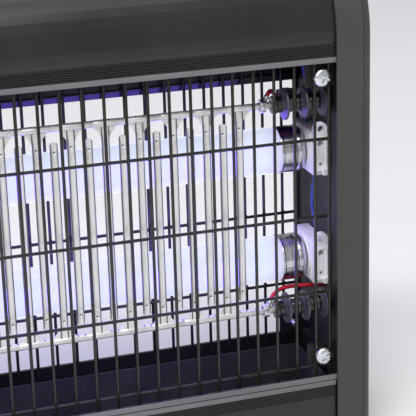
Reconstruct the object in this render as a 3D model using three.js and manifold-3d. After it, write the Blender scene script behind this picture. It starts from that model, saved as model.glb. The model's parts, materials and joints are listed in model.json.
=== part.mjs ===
// Electric bug zapper: two tube lamps behind a high-voltage electrode grid, between two wire guards.
// Millimetres, +Z up, +X to the right seen from the front, -Y towards the front.
// The origin is under the middle of the case, on the surface it stands on.
import * as THREE from "three";
import { mergeVertices } from "three/addons/utils/BufferGeometryUtils.js";
import Module from "manifold-3d";

// Case
const gap = 0.3; // air between neighbouring pieces
const plateFace = 230; // inner face of a side plate, from the middle
const sheet = 1.2; // steel sheet
const cheekInner = 227.3; // where a cheek's rim starts
const cheekOuter = 247.3;
const cheekHalf = 35.5; // half the depth of a cheek
const cheekWall = 2.2;
const cheekRound = 4.4; // rounding of a cheek's outer edge
const caseHeight = 270;
const profileHalf = 33; // half the depth of the extruded profiles
const profileWall = 2;
const profileTop = caseHeight - cheekWall - gap;
const crownHalf = 14; // half the flat crown
const frontShoulder = 234; // where the front and rear walls start to curve in
const rearShoulder = 213.5;
const frontLip = 222; // lower edge of the top profile
const rearLip = 198;
const sill = 42; // upper edge of the base
const lipBand = 3;
const ribPitch = 1.2;
const ribCount = 6;
const ribDepth = 0.6;

// Guards
const wire = 1.6; // side of the square that stands for a 1.8 mm wire
const wirePitch = 11.45;
const wireCount = 39;
const edgeWire = 225.7;
const guardY = 27;
const crossPitch = 44.34;
const weld = 0.1; // how far the middle cross wire sinks into the upright wires
const clear = 0.1; // how far the other cross wires lie behind them, except at the two edge wires
const frontCross = 134; // height of the middle cross wire
const rearCross = 119.9;

// Lamps: 26 mm tubes with bi-pin caps
const lampRadius = 13;
const lampHeights = { upper: 167, lower: 103 };
const capStart = 204.1;
const capFace = 218.7;
const pinOffset = 6.35;
const pinRadius = 1.15;
const pinLength = 6;
const rotorRadius = 9;

// Electrodes
const gridY = -16;
const railHeights = { upper: 197.5, lower: 78.9 };
const railRadius = 1.9;
const railEnd = 206;
const stripCount = 40;
const stripReach = 178.4;
const stripWidth = 4.2;
const stripSheet = 0.8;
const headWidth = 12.7;
const endGap = 5.8; // from a free end to the other rail

// Screw places
const screwX = 221.6;
const guardScrewHeights = { front: [213.3, 52], rear: [189, 52] };
const cheekScrewHeight = 250;

const finishes = {
  profile: { color: "#34342f", roughness: 0.35, metalness: 0.3 },
  cheek: { color: "#484844", roughness: 0.55, metalness: 0 },
  blackSheet: { color: "#171716", roughness: 0.5, metalness: 0.3 },
  blackWire: { color: "#1d1d18", roughness: 0.3, metalness: 0.2 },
  zinc: { color: "#d8dadb", roughness: 0.3, metalness: 1 },
  lampGlass: { color: "#e4e8ff", roughness: 0.3, metalness: 0 },
  lampCap: { color: "#c9c9cc", roughness: 0.25, metalness: 1 },
  whitePlastic: { color: "#ecebf0", roughness: 0.5, metalness: 0 },
  electrode: { color: "#d6d6d2", roughness: 0.35, metalness: 1 },
  insulator: { color: "#16160f", roughness: 0.25, metalness: 0 },
  redLead: { color: "#b82038", roughness: 0.4, metalness: 0 },
  blueLead: { color: "#2b3f8f", roughness: 0.4, metalness: 0 },
  tray: { color: "#3a3a36", roughness: 0.45, metalness: 0.3 },
  ballast: { color: "#dcdcd8", roughness: 0.5, metalness: 0.1 },
  core: { color: "#55504a", roughness: 0.6, metalness: 0.6 },
  natural: { color: "#e6e2d4", roughness: 0.5, metalness: 0 },
  blackPlastic: { color: "#1b1b1b", roughness: 0.45, metalness: 0 },
};

const wasm = await Module();
wasm.setup();

function toSolid(geometry) {
  const bare = geometry.clone();
  bare.deleteAttribute("normal");
  bare.deleteAttribute("uv");
  const merged = mergeVertices(bare);
  return new wasm.Manifold(
    new wasm.Mesh({
      numProp: 3,
      vertProperties: merged.attributes.position.array,
      triVerts: new Uint32Array(merged.index.array),
    }),
  );
}

// The first geometry joined with the others, less the cuts.
function build(joined, cuts = []) {
  let solid = toSolid(joined[0]);
  for (const part of joined.slice(1)) solid = solid.add(toSolid(part));
  for (const part of cuts) solid = solid.subtract(toSolid(part));
  const mesh = solid.getMesh();
  const geometry = new THREE.BufferGeometry();
  geometry.setAttribute("position", new THREE.BufferAttribute(mesh.vertProperties, 3));
  geometry.setIndex(new THREE.BufferAttribute(mesh.triVerts, 1));
  geometry.computeVertexNormals();
  return geometry;
}

function box([x0, x1], [y0, y1], [z0, z1]) {
  const geometry = new THREE.BoxGeometry(x1 - x0, y1 - y0, z1 - z0);
  return geometry.translate((x0 + x1) / 2, (y0 + y1) / 2, (z0 + z1) / 2);
}

function rod(radius, from, to, sides = 8) {
  const start = new THREE.Vector3(...from);
  const way = new THREE.Vector3(...to).sub(start);
  const geometry = new THREE.CylinderGeometry(radius, radius, way.length(), sides);
  const turn = new THREE.Quaternion().setFromUnitVectors(
    new THREE.Vector3(0, 1, 0),
    way.clone().normalize(),
  );
  const middle = start.addScaledVector(way, 0.5);
  return geometry.applyQuaternion(turn).translate(middle.x, middle.y, middle.z);
}

// An outline in (y, z) carried along X.
function alongX(shape, [x0, x1], curveSegments = 3, extra = {}) {
  const options = { depth: x1 - x0, bevelEnabled: false, curveSegments, ...extra };
  const turn = new THREE.Matrix4().makeBasis(
    new THREE.Vector3(0, 1, 0),
    new THREE.Vector3(0, 0, 1),
    new THREE.Vector3(1, 0, 0),
  );
  return new THREE.ExtrudeGeometry(shape, options).applyMatrix4(turn).translate(x0, 0, 0);
}

// A closed profile of (radius, x) points turned about an axis along X.
function turned(profile, sides = 10) {
  const points = profile.map(([radius, x]) => new THREE.Vector2(radius, x));
  return new THREE.LatheGeometry(points, sides).rotateZ(-Math.PI / 2);
}

function lead(points, radius, steps) {
  const section = new THREE.Shape().absarc(0, 0, radius, 0, Math.PI * 2);
  const path = new THREE.CatmullRomCurve3(points.map((p) => new THREE.Vector3(...p)));
  return new THREE.ExtrudeGeometry(section, { steps, extrudePath: path, curveSegments: 4 });
}

function add(parent, name, geometry, finish, position = [0, 0, 0], rotation = [0, 0, 0]) {
  const mesh = new THREE.Mesh(geometry, new THREE.MeshStandardMaterial(finishes[finish]));
  mesh.name = name;
  mesh.position.set(...position);
  mesh.rotation.set(...rotation);
  parent.add(mesh);
}

// Side outline of the case: straight walls, elliptical shoulders and a flat crown.
function caseOutline(inset) {
  const corner = 6 - inset;
  const half = cheekHalf - inset;
  const crown = caseHeight - inset;
  const shape = new THREE.Shape();
  shape.moveTo(corner - half, inset);
  shape.lineTo(half - corner, inset);
  shape.absarc(half - corner, inset + corner, corner, -Math.PI / 2, 0);
  shape.lineTo(half, rearShoulder);
  shape.absellipse(crownHalf, rearShoulder, half - crownHalf, crown - rearShoulder, 0, Math.PI / 2);
  shape.lineTo(-crownHalf, crown);
  shape.absellipse(
    -crownHalf, frontShoulder, half - crownHalf, crown - frontShoulder, Math.PI / 2, Math.PI,
  );
  shape.lineTo(-half, inset + corner);
  shape.absarc(corner - half, inset + corner, corner, Math.PI, Math.PI * 1.5);
  return shape;
}

// Points of a ribbed band on a wall at y, from z upwards (step 1) or downwards (step -1).
function ribs(y, z, step) {
  const inside = y - Math.sign(y) * ribDepth;
  const points = [];
  for (let i = 0; i < ribCount; i += 1) {
    const foot = z + step * ribPitch * i;
    points.push([inside, foot], [y, foot + step * 0.3], [y, foot + step * 0.9]);
  }
  points.push([inside, z + step * ribPitch * ribCount]);
  return points;
}

// Points on a quarter of an ellipse, from angle start to angle end.
function arcPoints(cy, cz, ry, rz, start, end, steps = 7) {
  return Array.from({ length: steps + 1 }, (_, i) => {
    const angle = start + ((end - start) * i) / steps;
    return [cy + ry * Math.cos(angle), cz + rz * Math.sin(angle)];
  });
}

function outline(points) {
  return new THREE.Shape(points.map(([y, z]) => new THREE.Vector2(y, z)));
}

const across = [gap - plateFace, plateFace - gap];

function topProfile() {
  const outer = profileHalf;
  const inner = profileHalf - profileWall;
  const lipBack = inner - 0.5;
  const bead = 1.2;
  const quarter = Math.PI / 2;
  const outerArc = outer - 0.3 - crownHalf;
  const innerArc = inner - crownHalf;
  return alongX(
    outline([
      [-outer, frontLip],
      [-outer, frontLip + lipBand],
      ...ribs(-outer, frontLip + lipBand, 1),
      ...arcPoints(-crownHalf, frontShoulder, outerArc, profileTop - frontShoulder, 2 * quarter, quarter),
      ...arcPoints(crownHalf, rearShoulder, outerArc, profileTop - rearShoulder, quarter, 0),
      ...ribs(outer, rearLip + lipBand, 1).reverse(),
      [outer, rearLip + lipBand],
      [outer, rearLip],
      [lipBack, rearLip],
      [lipBack, rearLip + lipBand],
      [lipBack - bead, rearLip + lipBand],
      [lipBack - bead, rearLip + lipBand + bead],
      [inner, rearLip + lipBand + bead],
      ...arcPoints(crownHalf, rearShoulder, innerArc, profileTop - profileWall - rearShoulder, 0, quarter),
      ...arcPoints(
        -crownHalf, frontShoulder, innerArc, profileTop - profileWall - frontShoulder, quarter, 2 * quarter,
      ),
      [-inner, frontLip + lipBand],
      [-lipBack, frontLip + lipBand],
      [-lipBack, frontLip],
    ]),
    across,
  );
}

function gearTray() {
  const floor = 226.8;
  const reach = 28.6;
  const upstand = 6;
  const pan = outline([
    [-reach, floor],
    [reach, floor],
    [reach, floor + upstand],
    [reach - sheet, floor + upstand],
    [reach - sheet, floor + sheet],
    [sheet - reach, floor + sheet],
    [sheet - reach, floor + upstand],
    [-reach, floor + upstand],
  ]);
  const leadHoles = [-1, 1].map((side) => rod(2.5, [222 * side, 8, floor - 2], [222 * side, 8, floor + 4]));
  return build([alongX(pan, across)], leadHoles);
}

function bottomChassis() {
  const outer = profileHalf;
  const inner = profileHalf - profileWall;
  const floor = 3;
  const rear = outline([
    [outer, sill],
    [outer, sill - lipBand],
    ...ribs(outer, sill - lipBand, -1),
    [outer, 6],
    [outer - 3, floor],
    [-31, floor],
    [-31, floor + sheet],
    [outer - 4.4, floor + sheet],
    [inner, 6.6],
    [inner, sill],
  ]);
  const frontRail = outline([
    [-outer, sill],
    [-inner, sill],
    [-inner, 40],
    [-28.5, 40],
    [-28.5, 38.8],
    [-outer, 38.8],
  ]);
  const endWall = outline([
    [-outer, sill], [-outer, 6], [3 - outer, floor], [outer - 3, floor], [outer - 1, 6], [outer - 1, sill],
  ]);
  const [start, end] = across;
  const endWalls = [[start, start + 1.5], [end - 1.5, end]];
  const ends = endWalls.map((span) => alongX(endWall, span));
  return build([alongX(rear, across), alongX(frontRail, across), ...ends]);
}

function cheek(holds) {
  const length = cheekOuter - cheekInner;
  const bevel = {
    bevelEnabled: true,
    bevelThickness: cheekRound,
    bevelSize: cheekRound,
    bevelOffset: -cheekRound,
    bevelSegments: 2,
  };
  const span = [cheekInner - 8, cheekOuter - cheekRound];
  const body = alongX(caseOutline(0), span, 3, bevel);
  const boss = rod(6, [plateFace + sheet + gap, 0, cheekScrewHeight], [cheekOuter - 2, 0, cheekScrewHeight]);
  const hollow = alongX(caseOutline(cheekWall), [cheekInner - 20, cheekOuter - 2.5]);
  const trim = box([cheekInner - length, cheekInner], [-50, 50], [-10, caseHeight + 10]);
  const shell = build([body], [hollow, trim]);
  const screwHole = rod(2.3, [plateFace, 0, cheekScrewHeight], [cheekOuter + 1, 0, cheekScrewHeight]);
  const counterbore = rod(4.7, [cheekOuter - 3.2, 0, cheekScrewHeight], [cheekOuter + 1, 0, cheekScrewHeight]);
  return build([shell, boss, ...holds.joined], [screwHole, counterbore, ...holds.cuts]);
}

// The pocket in the left cheek that keeps the switch below the cheek's face.
const switchHeight = 225;
function switchPocket() {
  const at = (half) => [switchHeight - half, switchHeight + half];
  const boxed = box([cheekOuter - 7, cheekOuter - 2], [-13, 13], at(16));
  const pocket = box([cheekOuter - 3.8, cheekOuter + 1], [-10.5, 10.5], at(13.5));
  const hole = box([cheekOuter - 10, cheekOuter + 1], [-6.8, 6.8], at(9.8));
  return { joined: [boxed], cuts: [pocket, hole] };
}

// A side plate with four bent tabs that the guard screws bite into.
function sidePlate(leadHoles) {
  const plate = alongX(caseOutline(cheekWall + 0.6), [plateFace, plateFace + sheet]);
  const tabFace = 23.9;
  const tabs = [];
  const holes = [rod(2.3, [plateFace - 2, 0, cheekScrewHeight], [plateFace + 4, 0, cheekScrewHeight])];
  for (const [side, heights] of Object.entries(guardScrewHeights)) {
    const front = side === "front" ? -tabFace : tabFace - sheet;
    for (const z of heights) {
      tabs.push(box([213.5, plateFace + sheet / 2], [front, front + sheet], [z - 6, z + 6]));
      holes.push(rod(2.3, [screwX, front - 2, z], [screwX, front + 4, z]));
    }
  }
  for (const [y, z] of leadHoles) holes.push(rod(2.2, [plateFace - 2, y, z], [plateFace + 4, y, z]));
  return build([plate, ...tabs], holes);
}

function guard(low, high, crossMiddle) {
  const bars = [];
  const upright = (x) => box([x - wire / 2, x + wire / 2], [-wire / 2, wire / 2], [low, high]);
  const first = (-wirePitch * (wireCount - 1)) / 2;
  for (let i = 0; i < wireCount; i += 1) bars.push(upright(first + i * wirePitch));
  bars.push(upright(-edgeWire), upright(edgeWire));
  const reach = edgeWire + wire / 2;
  for (let i = -2; i <= 1; i += 1) {
    const z = crossMiddle + i * crossPitch;
    if (z < low) continue;
    const front = wire / 2 + (i ? clear : -weld);
    const thick = [z - wire / 2, z + wire / 2];
    bars.push(box([-reach, reach], [front, front + wire], thick));
    for (const x of i ? [-edgeWire, edgeWire] : []) {
      bars.push(box([x - wire / 2, x + wire / 2], [0, front + weld], thick));
    }
  }
  return build(bars);
}

// A pan-head screw along X with its head's seat at x = 0 and its shank towards -X.
function panScrew(headRadius, headHeight, shankRadius, shankLength) {
  return turned([
    [0, headHeight],
    [headRadius * 0.6, headHeight * 0.9],
    [headRadius, headHeight * 0.3],
    [headRadius, 0],
    [shankRadius, 0],
    [shankRadius, -shankLength],
    [0, -shankLength],
  ].reverse());
}

function trayPan() {
  const outerWalls = box([-226.5, 226.5], [-30, 28], [4.6, 35]);
  const hollow = box([sheet - 226.5, 226.5 - sheet], [sheet - 30, 28 - sheet], [4.6 + sheet, 50]);
  return build([outerWalls], [hollow]);
}

function trayFront() {
  const reach = 227;
  const top = 38.4;
  const face = outline([
    [-profileHalf, top],
    [-profileHalf, top - lipBand],
    ...ribs(-profileHalf, top - lipBand, -1),
    ...arcPoints(-28, 14, 4.7, 9.4, Math.PI, Math.PI * 1.28, 4),
    [-30.3, 5.4],
    [-30.3, top],
  ]);
  const grip = outline([[-31, 16], [-35.2, 13.5], [-35.2, 12], [-31, 12]]);
  return build([alongX(face, [-reach, reach]), alongX(grip, [-45, 45])]);
}

function lampTube() {
  const neck = 0.8;
  const wall = 0.8;
  const shoulder = capStart - gap;
  const end = capStart + 6;
  return turned([
    [lampRadius, shoulder],
    [lampRadius, -shoulder],
    [lampRadius - neck, -shoulder],
    [lampRadius - neck, -end],
    [lampRadius - neck - wall, -end],
    [lampRadius - neck - wall, end],
    [lampRadius - neck, end],
    [lampRadius - neck, shoulder],
    [lampRadius, shoulder],
  ].reverse(), 16);
}

// A lamp cap with its two pins, which stand one above the other.
function lampCap() {
  const shell = turned([
    [12.5, capStart],
    [13.2, capStart],
    [13.2, capFace - 2.4],
    [11.4, capFace],
    [0, capFace],
    [0, capFace - 1.2],
    [12.5, capFace - 3],
    [12.5, capStart],
  ], 16);
  const pins = [-1, 1].map((side) => {
    const z = side * pinOffset;
    return rod(pinRadius, [capFace - 1, 0, z], [capFace + pinLength, 0, z], 8);
  });
  return build([shell, ...pins]);
}

// A turning lampholder, open at the rear so that the pins can slide in.
function lampHolder() {
  const face = capFace + 0.6;
  const back = plateFace - gap;
  const block = box([face, back], [-17, 17], [-12.25, 12.25]);
  const ear = rod(4.2, [224.8, -17, 14], [224.8, -14, 14]);
  const earHole = rod(1.8, [224.8, -18, 14.4], [224.8, -13, 14.4], 6);
  const cavity = rod(rotorRadius + gap + 0.2, [face - 1, 0, 0], [226.3, 0, 0], 16);
  const entry = box([face - 1, 225.3], [0, 18], [-1.7, 1.7]);
  return build([block, ear], [earHole, cavity, entry]);
}

function rotor() {
  const face = capFace + 0.9;
  const disc = rod(rotorRadius, [face, 0, 0], [226, 0, 0], 16);
  const slot = box([face - 1, capFace + pinLength + gap], [-1.6, 1.6], [-10, 10]);
  return build([disc], [slot]);
}

// A comb of flat strips hanging from a round rail; built for the upper rail.
function comb(first) {
  const drop = railHeights.upper - railHeights.lower - railRadius - endGap;
  const half = stripWidth / 2;
  const shape = new THREE.Shape();
  shape.moveTo(-headWidth / 2, 0);
  shape.lineTo(-headWidth / 2, -railRadius);
  shape.lineTo(-half, -railRadius - 5.5);
  shape.lineTo(-half, half - drop);
  shape.lineTo(0.6 - half, -drop);
  shape.lineTo(half - 0.6, -drop);
  shape.lineTo(half, half - drop);
  shape.lineTo(half, -railRadius - 5.5);
  shape.lineTo(headWidth / 2, -railRadius);
  shape.lineTo(headWidth / 2, 0);
  const upright = new THREE.Matrix4().makeRotationX(Math.PI / 2);
  const strip = new THREE.ExtrudeGeometry(shape, { depth: stripSheet, bevelEnabled: false });
  strip.applyMatrix4(upright).translate(0, stripSheet / 2, 0);
  const pitch = (2 * stripReach) / (stripCount - 1);
  const pieces = [rod(railRadius, [-railEnd, 0, 0], [railEnd, 0, 0], 6)];
  for (let i = first; i < stripCount; i += 2) {
    pieces.push(strip.clone().translate(i * pitch - stripReach, 0, 0));
  }
  return build(pieces);
}

// A bobbin insulator: a core with three thin skirts, bored at the inner end for the rail.
function insulator() {
  const core = 4.5;
  const skirt = 9.3;
  const inner = 196.7;
  const outer = plateFace - gap;
  const profile = [[2.3, inner], [5, inner], [5, inner + 2], [core, inner + 2.4]];
  for (const x of [204, 214.95, 225.9]) {
    profile.push([core, x - 2], [skirt, x - 0.4], [skirt, x + 0.4], [core, x + 2]);
  }
  profile.push([core, outer], [0, outer], [0, railEnd + 0.8], [2.3, railEnd + 0.8], [2.3, inner]);
  return turned(profile);
}

const barrelWay = new THREE.Vector3(0.55, 0.3, 0.78).normalize();
function terminal() {
  const ring = turned([[2.3, -1.6], [3.6, -1.6], [3.6, 1.6], [2.3, 1.6], [2.3, -1.6]]);
  const from = barrelWay.clone().multiplyScalar(3).toArray();
  const to = barrelWay.clone().multiplyScalar(6).toArray();
  return build([ring, rod(1.5, from, to, 8)]);
}

function ballast() {
  const body = box([-68, 68], [-14, 14], [228.3, 250]);
  const feet = [-1, 1].map((side) => box([side * 72 - 5, side * 72 + 5], [-12, 12], [228.3, 230]));
  return build([body, ...feet]);
}

function transformer() {
  const core = box([112, 148], [-17, 17], [228.3, 258]);
  const coil = box([118, 142], [-22, 20], [233, 253]);
  return build([core, coil]);
}

function terminalBlock() {
  const base = box([-160, -112], [-9, 9], [228.3, 238]);
  const towers = [0, 1, 2, 3].map((i) => box([i * 12 - 158, i * 12 - 150], [-5, 5], [237, 245]));
  return build([base, ...towers]);
}

function gland() {
  const at = -90;
  const dome = turned([
    [0, 0], [8.5, 0], [8.5, 6], [6, 12], [4.2, 14], [0, 14],
  ], 12).rotateY(-Math.PI / 2).translate(at, 0, profileTop + gap);
  const bore = rod(3.6, [at, 0, profileTop - 20], [at, 0, profileTop + 20]);
  return build([dome], [bore]);
}

function switchHousing() {
  const at = (half) => [switchHeight - half, switchHeight + half];
  const seat = cheekOuter - 3.8 + gap;
  const bezel = box([seat, seat + 1.4], [-8, 8], at(11.5));
  const body = box([seat - 10.5, seat + 0.2], [-6.5, 6.5], at(9.5));
  const well = box([seat - 4.5, seat + 2], [-5.2, 5.2], at(8.3));
  return build([bezel, body], [well]);
}

const rockerPivot = cheekOuter - 4.6;
function rocker() {
  const key = new THREE.Shape([
    new THREE.Vector2(-7.6, 0.6),
    new THREE.Vector2(0, -2.2),
    new THREE.Vector2(7.6, 0.6),
    new THREE.Vector2(7.6, 2.2),
    new THREE.Vector2(0, 1.6),
    new THREE.Vector2(-7.6, 2.2),
  ]);
  const solid = new THREE.ExtrudeGeometry(key, { depth: 9.6, bevelEnabled: false });
  const lie = new THREE.Matrix4().makeBasis(
    new THREE.Vector3(0, 0, 1),
    new THREE.Vector3(1, 0, 0),
    new THREE.Vector3(0, 1, 0),
  );
  return solid.translate(0, 0, -4.8).applyMatrix4(lie);
}

const bailAxis = profileTop + 4.8;
function saddle() {
  const base = box([-22, 22], [-5, 5], [profileTop + gap, profileTop + 1.8]);
  const lugs = [-1, 1].map((side) => {
    const x = side * 17.5;
    return box([x - 1.5, x + 1.5], [-3.5, 3.5], [profileTop + 1.5, bailAxis + 3.5]);
  });
  return build([base, ...lugs], [rod(2, [-30, 0, bailAxis], [30, 0, bailAxis], 8)]);
}

function bail() {
  const leg = 21.2;
  const reach = 14;
  const radius = 1.5;
  const side = (s) => [
    rod(radius, [s * 14.8, 0, 0], [s * leg, 0, 0], 8),
    rod(radius, [s * leg, -radius, 0], [s * leg, reach + radius, 0], 8),
  ];
  return build([rod(radius, [-leg, reach, 0], [leg, reach, 0], 8), ...side(-1), ...side(1)]);
}

const zapper = new THREE.Group();

add(zapper, "top_profile", topProfile(), "profile");
add(zapper, "gear_tray", gearTray(), "blackSheet");
add(zapper, "bottom_chassis", bottomChassis(), "profile");
add(zapper, "front_guard", guard(39.4, 226, frontCross), "blackWire", [0, -guardY, 0]);
add(zapper, "rear_guard", guard(39.4, 210.6, rearCross), "blackWire", [0, guardY, 0], [0, 0, Math.PI]);
add(zapper, "tray_pan", trayPan(), "tray");
add(zapper, "tray_front", trayFront(), "profile");
add(zapper, "ballast", ballast(), "ballast");
add(zapper, "ht_transformer", transformer(), "core");
add(zapper, "terminal_block", terminalBlock(), "natural");
add(zapper, "cable_gland", gland(), "blackPlastic");

add(zapper, "upper_electrode_comb", comb(1), "electrode", [0, gridY, railHeights.upper]);
add(zapper, "lower_electrode_comb", comb(1), "electrode", [0, gridY, railHeights.lower], [0, Math.PI, 0]);

for (const [level, z] of Object.entries(lampHeights)) {
  add(zapper, level + "_lamp_tube", lampTube(), "lampGlass", [0, 0, z]);
}

// Leads: high voltage from the transformer down inside the right cheek to the two rails.
const terminalX = 191.6;
for (const [level, z] of Object.entries(railHeights)) {
  add(zapper, level + "_terminal", terminal(), "zinc", [terminalX, gridY, z]);
}
function fromBarrel(z, distance) {
  const point = barrelWay.clone().multiplyScalar(6 + distance);
  return [terminalX + point.x, gridY + point.y, z + point.z];
}
const upperHighVoltage = [
  fromBarrel(railHeights.upper, gap),
  fromBarrel(railHeights.upper, 1.2),
  [199, -9, 203.5],
  [203.5, -4.6, 199.6],
  [209, -3.6, 197],
  [217, -3.6, 196.8],
  [230.6, -4.5, 200],
  [237, -6, 204],
  [238, -8, 212],
  [238, -10, 224],
  [236.5, -10, 232],
  [230.6, -10, 236],
  [218, -9, 239],
  [190, -7, 242],
  [165, -6, 243],
  [148.5, -6, 243],
];
const lowerHighVoltage = [
  fromBarrel(railHeights.lower, gap),
  fromBarrel(railHeights.lower, 1.2),
  [200, -10.5, 87],
  [207, -8, 87.8],
  [218, -7.5, 87.2],
  [230.6, -8, 86.5],
  [236.5, -10, 89],
  [238, -14, 98],
  [238, -16, 130],
  [238, -16, 170],
  [238, -16, 215],
  [236.5, -16, 231],
  [230.6, -16, 236],
  [218, -15, 238],
  [190, -13, 239],
  [165, -12, 239],
  [148.5, -12, 239],
];
add(zapper, "upper_high_voltage_lead", lead(upperHighVoltage, 1.2, 28), "redLead");
add(zapper, "lower_high_voltage_lead", lead(lowerHighVoltage, 1.2, 44), "redLead");

const lampFeed = [
  [224.8, 6, lampHeights.upper + 12.25 + gap],
  [224.8, 6, 184],
  [226, 8, 200],
  [223.5, 8.5, 216],
  [222, 8, 227.4],
  [217, 11, 234],
  [200, 22, 234.5],
  [160, 25, 234.5],
  [110, 24, 235],
  [85, 14, 238],
  [74, 8, 240],
  [68 + gap, 8, 240],
];
const lampLink = [
  [224.8, -9, lampHeights.lower + 12.25 + gap],
  [224.8, -9, 119],
  [222.6, -12, 127],
  [221.8, -11, 137],
  [223.5, -8, 147],
  [224.8, -7, 151],
  [224.8, -7, lampHeights.upper - 12.25 - gap],
];

// Everything that both ends carry; the left end is the mirror image of the right one.
const highVoltageHoles = [[-4.5, 200], [-10, 236], [-8, 86.5], [-16, 236]];
const ends = [
  { name: "right", mirror: 1, plateHoles: highVoltageHoles, holds: { joined: [], cuts: [] } },
  { name: "left", mirror: -1, plateHoles: [], holds: switchPocket() },
];
for (const end of ends) {
  const group = new THREE.Group();
  group.scale.x = end.mirror;
  add(group, end.name + "_cheek", cheek(end.holds), "cheek");
  add(group, end.name + "_side_plate", sidePlate(end.plateHoles), "blackSheet");
  const cheekScrew = panScrew(4.2, 2.6, 1.9, 15.6);
  const seat = cheekOuter - 3.2 + 0.1;
  add(group, end.name + "_cheek_screw", cheekScrew, "zinc", [seat + 0.2, 0, cheekScrewHeight]);
  for (const [level, z] of Object.entries(lampHeights)) {
    const label = end.name + "_" + level;
    add(group, label + "_lamp_cap", lampCap(), "lampCap", [0, 0, z]);
    add(group, label + "_lampholder", lampHolder(), "whitePlastic", [0, 0, z]);
    add(group, label + "_rotor", rotor(), "whitePlastic", [0, 0, z]);
    add(group, label + "_insulator", insulator(), "insulator", [0, gridY, railHeights[level]]);
  }
  for (const [side, heights] of Object.entries(guardScrewHeights)) {
    const facing = side === "front" ? -1 : 1;
    heights.forEach((z, row) => {
      const label = [end.name, side, row ? "lower" : "upper", "guard_screw"].join("_");
      const place = [screwX, facing * (guardY + wire / 2 + gap), z];
      add(group, label, panScrew(5.2, 2.9, 1.95, 10), "zinc", place, [0, 0, (facing * Math.PI) / 2]);
    });
  }
  add(group, end.name + "_lamp_feed_lead", lead(lampFeed, 0.9, 26), "blueLead");
  add(group, end.name + "_lamp_link_lead", lead(lampLink, 0.9, 10), "blueLead");
  zapper.add(group);
}

// The switch is in the left cheek and rests pushed in at its lower end.
const leftEnd = new THREE.Group();
leftEnd.scale.x = -1;
add(leftEnd, "switch_housing", switchHousing(), "blackPlastic");
const rockerTilt = THREE.MathUtils.degToRad(7);
add(leftEnd, "switch_rocker", rocker(), "blackPlastic", [rockerPivot, 0, switchHeight], [0, rockerTilt, 0]);
zapper.add(leftEnd);

const bailX = 165;
for (const [side, x] of [["left", -bailX], ["right", bailX]]) {
  add(zapper, side + "_hanger_saddle", saddle(), "zinc", [x, 0, 0]);
  add(zapper, side + "_hanger_bail", bail(), "zinc", [x, 0, bailAxis]);
}

export default zapper;
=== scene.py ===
import json
import math

import bpy
import numpy as np
from mathutils import Matrix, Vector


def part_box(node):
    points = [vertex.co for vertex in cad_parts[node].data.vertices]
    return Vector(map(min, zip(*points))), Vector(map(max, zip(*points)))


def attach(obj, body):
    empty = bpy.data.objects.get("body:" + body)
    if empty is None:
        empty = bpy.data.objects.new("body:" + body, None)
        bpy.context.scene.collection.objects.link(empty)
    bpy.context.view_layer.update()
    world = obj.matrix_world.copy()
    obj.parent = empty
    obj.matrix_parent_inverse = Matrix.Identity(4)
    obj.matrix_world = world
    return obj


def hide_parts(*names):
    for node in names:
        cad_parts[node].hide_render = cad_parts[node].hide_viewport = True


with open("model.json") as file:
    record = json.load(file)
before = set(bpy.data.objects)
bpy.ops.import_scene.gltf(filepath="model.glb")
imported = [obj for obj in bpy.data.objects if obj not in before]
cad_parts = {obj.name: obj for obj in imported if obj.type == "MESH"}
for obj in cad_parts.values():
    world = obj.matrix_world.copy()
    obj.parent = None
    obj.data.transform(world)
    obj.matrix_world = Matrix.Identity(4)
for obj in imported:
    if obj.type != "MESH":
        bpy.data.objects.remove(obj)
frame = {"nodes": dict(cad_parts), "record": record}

# The looks of a two-lamp electric bug zapper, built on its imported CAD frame.
# Shapes are worked out in millimetres, in the frame's axes, and written to the meshes in metres.
mm = 0.001
scene = bpy.context.scene
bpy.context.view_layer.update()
bodies = frame["record"]["behaviour"]["bodies"]
bodyOf = {node: body for body, members in bodies.items() for node in members}
levels = ("upper", "lower")
# Parts are made for the right end, and mirrored across X for the left one.
endBasis = {"left": np.diag((-1.0, 1.0, 1.0)), "right": np.eye(3)}
print("frame loaded,", len(frame["nodes"]), "nodes")

cameraLook = {
    "place": (-39.6, -703.0, 395.4),  # mm
    "turn": 16.29,  # degrees to the right of straight ahead
    "dip": 15.98,  # degrees below the horizon
    "roll": -1.65,
    "lens": 121.15,
    "shift": -0.2,
}
studioLook = {
    "world": 0.52,
    "worldColour": "#f7f8fb",
    "floor": "#dedee0",
    "floorReach": 12.0,  # metres from the middle to each edge
    "softboxes": {  # place, target, width and depth in metres, then watts
        "top": ((0, 0.1, 2.2), (0, 0.1, 0), 2.6, 2.6, 18.5),
        "key": ((-1.1, -1.9, 1.2), (0.1, 0, 0.15), 1.3, 1.0, 10.0),
        "strip": ((-0.5, -1.0, 1.9), (0, 0, 0.25), 1.5, 0.35, 34.0),
        "fill": ((1.9, 0.4, 0.9), (0.2, 0, 0.15), 1.0, 1.0, 1.6),
    },
    "lampGlow": {  # the way it shines, watts, and spread in degrees
        "Front": ((0, -1, 0), 0.2, 120),
        "Rear": ((0, 1, 0), 0.05, 120),
        "Above": ((0, 0, 1), 0.15, 180),
        "Below": ((0, 0, -1), 0.15, 180),
    },
    "lampColour": "#6433ff",
    "lampStrip": (0.4, 0.016),  # metres long and wide
}


def linear(code):
    # sRGB hex to the linear numbers a shader wants
    values = [int(code[i:i + 2], 16) / 255 for i in (1, 3, 5)]
    return tuple(v / 12.92 if v <= 0.04045 else ((v + 0.055) / 1.055) ** 2.4 for v in values) + (1.0,)


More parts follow.
